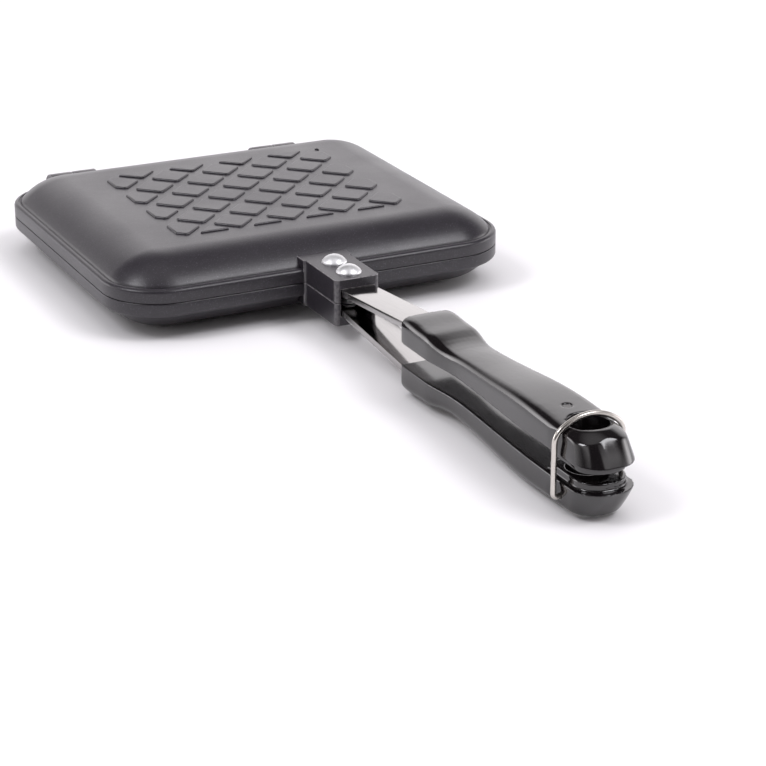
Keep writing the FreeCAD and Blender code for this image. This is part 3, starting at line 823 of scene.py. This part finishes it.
def coating_finish(colour, worn_and_highlight):
    """Sprayed non-stick coating: fine orange peel, a faint speckle of painted glints, and round edges
    lightened as scuffed coating and as painted highlights.
    """
    material, tree, shader, place = new_finish("nonstick_coating")
    cloud = noise(tree, place, 45, detail=3)
    speck = noise(tree, place, 2600, detail=2, roughness=0.6)
    base = mixed(tree, cloud, scaled(colour, 0.85), scaled(colour, 1.2))
    # Painted glints: tiny specks of the coating made far lighter, as if catching the light.
    glint = span(tree, speck, 0, 1, 0.60, 0.72)
    speckled = mixed(tree, glint, base, scaled(colour, 4.5))
    # Round edges are lightened toward the edge colour: scuffed coating and painted edge highlights.
    edges = tree.nodes.new("ShaderNodeAttribute")
    edges.attribute_name = WEAR_AND_HIGHLIGHT
    patches = span(tree, noise(tree, place, 700, detail=3, roughness=0.6), 0.2, 1, 0.36, 0.55)
    rubbed_and_highlit = arithmetic(tree, "MULTIPLY", span(tree, edges.outputs["Fac"], 0, 0.9, 0.4, 1), patches)
    tree.links.new(mixed(tree, rubbed_and_highlit, speckled, worn_and_highlight), shader.inputs["Base Color"])
    tree.links.new(span(tree, cloud, 0.30, 0.37, 0.3, 0.7), shader.inputs["Roughness"])
    shader.inputs["Specular IOR Level"].default_value = 0.58
    peel = noise(tree, place, 1500, detail=3, roughness=0.6)
    waves = noise(tree, place, 260, detail=2)
    bump(tree, shader, (peel, 0.06 * MM, 0.5), (waves, 0.1 * MM, 0.25))
    return material


def steel_finish(name, colour, scratch, roughness=0.09):
    """Bare metal with fine scratches and a few smudges."""
    material, tree, shader, place = new_finish(name)
    grain = noise(tree, place, 1400, detail=3, roughness=0.6, stretch=scratch)
    smudge = noise(tree, place, 60, detail=3)
    tree.links.new(mixed(tree, grain, scaled(colour, 0.9), scaled(colour, 1.06)), shader.inputs["Base Color"])
    shader.inputs["Metallic"].default_value = 1
    tree.links.new(span(tree, smudge, roughness, 1.7 * roughness, 0.3, 0.75), shader.inputs["Roughness"])
    waves = noise(tree, place, 180, detail=2)
    bump(tree, shader, (grain, 0.02 * MM, 0.35), (waves, 0.08 * MM, 0.12))
    return material


def plastic_finish(colour):
    """Polished black moulding with faint flow waviness and handling haze."""
    material, tree, shader, place = new_finish("moulded_grip")
    haze = noise(tree, place, 70, detail=4, roughness=0.6)
    tree.links.new(mixed(tree, haze, scaled(colour, 0.8), scaled(colour, 1.3)), shader.inputs["Base Color"])
    tree.links.new(span(tree, haze, 0.09, 0.16, 0.35, 0.75), shader.inputs["Roughness"])
    shader.inputs["IOR"].default_value = 1.72
    waves = noise(tree, place, 110, detail=2)
    ripple = noise(tree, place, 900, detail=2)
    bump(tree, shader, (waves, 0.2 * MM, 0.06), (ripple, 0.01 * MM, 0.2))
    return material


def floor_finish(colour):
    """A plain pale table."""
    material, tree, shader, place = new_finish("pale_table")
    cloud = noise(tree, place, 2, detail=2)
    tone = mixed(tree, cloud, scaled(colour, 0.99), scaled(colour, 1.01))
    tree.links.new(tone, shader.inputs["Base Color"])
    shader.inputs["Roughness"].default_value = 0.8
    shader.inputs["Specular IOR Level"].default_value = 0
    return material


def studio_world(s):
    """A sky that is bright low behind the pan, dark at the camera's own side and soft straight above."""
    world = bpy.data.worlds.new("studio")
    world.use_nodes = True
    tree = world.node_tree
    direction = tree.nodes.new("ShaderNodeTexCoord").outputs["Generated"]
    parts = tree.nodes.new("ShaderNodeSeparateXYZ")
    tree.links.new(direction, parts.inputs["Vector"])
    height = parts.outputs["Z"]
    level = vector_arithmetic(tree, "MULTIPLY", "Vector", direction, (1, 1, 0))
    compass = vector_arithmetic(tree, "NORMALIZE", "Vector", level)
    view_line = (sin(-s.turn), cos(s.turn), 0)
    behind = vector_arithmetic(tree, "DOT_PRODUCT", "Value", compass, view_line)
    lift = arithmetic(tree, "ADD", span(tree, behind, *FRONT_LIFT), span(tree, behind, *FAR_LIFT))
    lowered = arithmetic(tree, "SUBTRACT", height, lift)
    round_about = ramp(tree, span(tree, behind, 0, 1, -1, 1), SKY_STOPS)
    low_front, sides = span(tree, height, *FRONT_SHARE), span(tree, behind, *SIDE_SHARE)
    shaped = arithmetic(tree, "MULTIPLY", round_about, arithmetic(tree, "MAXIMUM", low_front, sides))
    band = span(tree, lowered, s.horizon, 0, *BAND_TOP)
    around = span(tree, height, s.surround, s.overhead, *OVERHEAD_RIM)
    background = tree.nodes["Background"]
    background.inputs["Color"].default_value = (*s.light_tint, 1)
    tree.links.new(arithmetic(tree, "MULTIPLY_ADD", band, shaped, around), background.inputs["Strength"])
    return world


# Operators, one for each group of pieces and one for the stage.

class PIE_OT_castings(bpy.types.Operator):
    """Build both castings with their tiles, lugs and knuckles"""

    bl_idname = "pie.castings"
    bl_label = "Castings"

    def execute(self, context):
        scene = context.scene
        c = scene.pie_casting
        finish = coating_finish(scene.pie_finish.coating, scene.pie_finish.worn_and_highlight)
        shift = (c.knuckle_width + c.knuckle_gap) / 2
        parts = [(shell_mesh(c), SHELL_RUB_AND_HIGHLIGHT), (lug_mesh(c), LUG_RUB_AND_HIGHLIGHT)]
        parts += [(knuckle_mesh(c, shift + side * c.hinge_offset), KNUCKLE_RUB_AND_HIGHLIGHT) for side in (1, -1)]
        parts.append((tiles_mesh(c, scene.pie_tiles, finish), TILE_RUB_AND_HIGHLIGHT))
        for side, body in (("upper", "lid"), ("lower", "base")):
            mesh = gathered(side + "_casting", parts, half_matrix(side == "upper"))
            new_piece(side + "_casting", mesh, body, finish, "pan_coating", side + "_pan")
        return {"FINISHED"}


class PIE_OT_straps(bpy.types.Operator):
    """Build both straps with rounded edges"""

    bl_idname = "pie.straps"
    bl_label = "Straps"

    def execute(self, context):
        scene = context.scene
        finish = steel_finish("strap_steel", scene.pie_finish.steel, ALONG_Y)
        for node, body in (("upper_strap", "lid"), ("lower_strap", "base")):
            mesh = evaluated(node, node_copy(node), bevelled(scene.pie_metal.strap_edge, 4, 50))
            soften(mesh, radians(25))
            new_piece(node + "_bar", mesh, body, finish, "strap_steel", node)
        return {"FINISHED"}


class PIE_OT_rivets(bpy.types.Operator):
    """Build the four domed rivets"""

    bl_idname = "pie.rivets"
    bl_label = "Rivets"

    def execute(self, context):
        scene = context.scene
        m = scene.pie_metal
        finish = steel_finish("rivet_metal", scene.pie_finish.rivet, NO_GRAIN, 0.42)
        for body, side in (("lid", "upper"), ("base", "lower")):
            nodes = [side + "_front_rivet", side + "_rear_rivet"]
            boxes = [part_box(node) for node in nodes]
            low, high = boxes[0]
            sign = 1 if side == "upper" else -1
            tip, tail = (high.z, low.z) if sign > 0 else (low.z, high.z)
            seat = tip - sign * m.rivet_height
            head = cap_section(m.rivet_head, m.rivet_height, m.rivet_rim, 12)
            foot = abs(seat - tail)
            section = [(m.rivet_head * out, -foot * down) for out, down in FOOT_SHARES]
            turned = lathe(section + head)
            if sign < 0:
                turned.transform(Matrix.Rotation(pi, 4, "X"))
            rivet = bpy.data.objects.new("rivet", turned)
            scene.collection.objects.link(rivet)
            sites = bpy.data.meshes.new("rivet_sites")
            sites.from_pydata([((b[0].x + b[1].x) / 2, (b[0].y + b[1].y) / 2, seat) for b in boxes], [], [])
            mesh = evaluated("rivets", sites, ("NODES", {"node_group": rivet_tree(rivet, finish)}))
            bpy.data.objects.remove(rivet)
            new_piece(side + "_rivets", mesh, body, finish, "rivet_metal", *nodes)
        return {"FINISHED"}


class PIE_OT_grips(bpy.types.Operator):
    """Build both moulded grips with soft edges"""

    bl_idname = "pie.grips"
    bl_label = "Grips"

    def execute(self, context):
        scene = context.scene
        g = scene.pie_grips
        finish = plastic_finish(scene.pie_finish.plastic)
        for node, body in (("upper_handle", "lid"), ("lower_handle", "base")):
            mesh = evaluated(node, node_copy(node),
                             ("REMESH", {"mode": "VOXEL", "voxel_size": g.voxel}),
                             ("SMOOTH", {"factor": 0.5, "iterations": g.passes}))
            mesh.shade_smooth()
            reshape(mesh, g)
            new_piece(node + "_grip", mesh, body, finish, "grip_plastic", node)
        return {"FINISHED"}


class PIE_OT_bail(bpy.types.Operator):
    """Build the wire bail"""

    bl_idname = "pie.bail"
    bl_label = "Bail"

    def execute(self, context):
        scene = context.scene
        m = scene.pie_metal
        low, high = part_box("latch_bail")
        finish = steel_finish("bail_wire", scene.pie_finish.wire, ALONG_Z, 0.2)
        line = bail_line(m, (low.y + high.y) / 2)
        curve = bpy.data.curves.new("bail_line", "CURVE")
        curve.dimensions = "3D"
        spline = curve.splines.new("POLY")
        spline.points.add(len(line) - 1)
        for point, place in zip(spline.points, line):
            point.co = (*place, 1)
        tree, names = wire_tree(finish)
        sizes = {names["Radius"]: m.wire, names["Sides"]: 24}
        mesh = evaluated("bail", curve, ("NODES", {"node_group": tree, **sizes}))
        new_piece("wire_bail", mesh, "bail", finish, "bail_wire", "latch_bail")
        return {"FINISHED"}


class PIE_OT_pins(bpy.types.Operator):
    """Give the pins their finish"""

    bl_idname = "pie.pins"
    bl_label = "Pins"

    def execute(self, context):
        finish = steel_finish("pin_steel", context.scene.pie_finish.pin, ALONG_X, 0.3)
        for node in ("hinge_pin_left", "hinge_pin_right", "upper_handle_pin", "lower_handle_pin"):
            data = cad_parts[node].data
            data.materials.clear()
            data.materials.append(finish)
        return {"FINISHED"}


class PIE_OT_stage(bpy.types.Operator):
    """Set the table, the soft lights and the camera"""

    bl_idname = "pie.stage"
    bl_label = "Stage"

    def execute(self, context):
        scene = context.scene
        s = scene.pie_stage
        half = s.floor_size / 2
        mesh = bpy.data.meshes.new("table")
        corners = [(-half, -half, 0), (half, -half, 0), (half, half, 0), (-half, half, 0)]
        mesh.from_pydata(corners, [], [(0, 1, 2, 3)])
        mesh.materials.append(floor_finish(scene.pie_finish.floor))
        floor = bpy.data.objects.new("table", mesh)
        scene.collection.objects.link(floor)
        scene.world = studio_world(s)
        scene.view_settings.view_transform = "Standard"
        for name, place, target, size, setting, glossy in LIGHTS:
            light = bpy.data.lights.new(name, "AREA")
            light.shape = "RECTANGLE"
            light.size, light.size_y = size
            light.energy = getattr(s, setting)
            light.color = s.box_tint
            lamp = bpy.data.objects.new(name, light)
            lamp.visible_glossy = glossy
            lamp.location = place
            lamp.rotation_euler = (Vector(target) - Vector(place)).to_track_quat("-Z", "Y").to_euler()
            scene.collection.objects.link(lamp)
        camera = bpy.data.cameras.new("photo_view")
        camera.lens = s.lens
        camera.sensor_width = s.sensor
        camera.clip_start = 10 * MM
        view = bpy.data.objects.new("photo_view", camera)
        view.location = s.camera_place
        view.rotation_euler = (pi / 2 - s.pitch, 0, s.turn)
        scene.collection.objects.link(view)
        scene.camera = view
        return {"FINISHED"}


class PIE_PT_panel(bpy.types.Panel):
    """Lists the makers and their sizes"""

    bl_label = "Pie iron"
    bl_idname = "PIE_PT_panel"
    bl_space_type = "VIEW_3D"
    bl_region_type = "UI"
    bl_category = "Pie iron"

    def draw(self, context):
        layout = self.layout
        for operator, groups in PANEL_ROWS:
            box = layout.box()
            box.operator(operator)
            for group in groups:
                settings = getattr(context.scene, group)
                for name in settings.__annotations__:
                    box.prop(settings, name)


GROUPS = {"pie_casting": CastingSettings, "pie_tiles": TileSettings, "pie_metal": MetalworkSettings,
          "pie_grips": GripSettings, "pie_finish": FinishSettings, "pie_stage": StageSettings}
CLASSES = (PIE_OT_castings, PIE_OT_straps, PIE_OT_rivets, PIE_OT_grips, PIE_OT_bail, PIE_OT_pins,
           PIE_OT_stage, PIE_PT_panel)

# The panel's buttons, each with the settings listed under it.
PANEL_ROWS = (("pie.castings", ("pie_casting", "pie_tiles")), ("pie.straps", ("pie_metal",)),
              ("pie.rivets", ()), ("pie.grips", ("pie_grips",)), ("pie.bail", ()),
              ("pie.pins", ("pie_finish",)), ("pie.stage", ("pie_stage",)))


def register():
    """Register the settings, operators and panel."""
    for name, group in GROUPS.items():
        bpy.utils.register_class(group)
        setattr(bpy.types.Scene, name, bpy.props.PointerProperty(type=group))
    for cls in CLASSES:
        bpy.utils.register_class(cls)


def unregister():
    """Undo register."""
    for cls in reversed(CLASSES):
        bpy.utils.unregister_class(cls)
    for name, group in GROUPS.items():
        delattr(bpy.types.Scene, name)
        bpy.utils.unregister_class(group)


def main():
    """Build everything."""
    register()
    bpy.ops.pie.stage()
    bpy.ops.pie.castings()
    bpy.ops.pie.straps()
    bpy.ops.pie.rivets()
    bpy.ops.pie.grips()
    bpy.ops.pie.bail()
    bpy.ops.pie.pins()


if __name__ == "__main__":
    main()
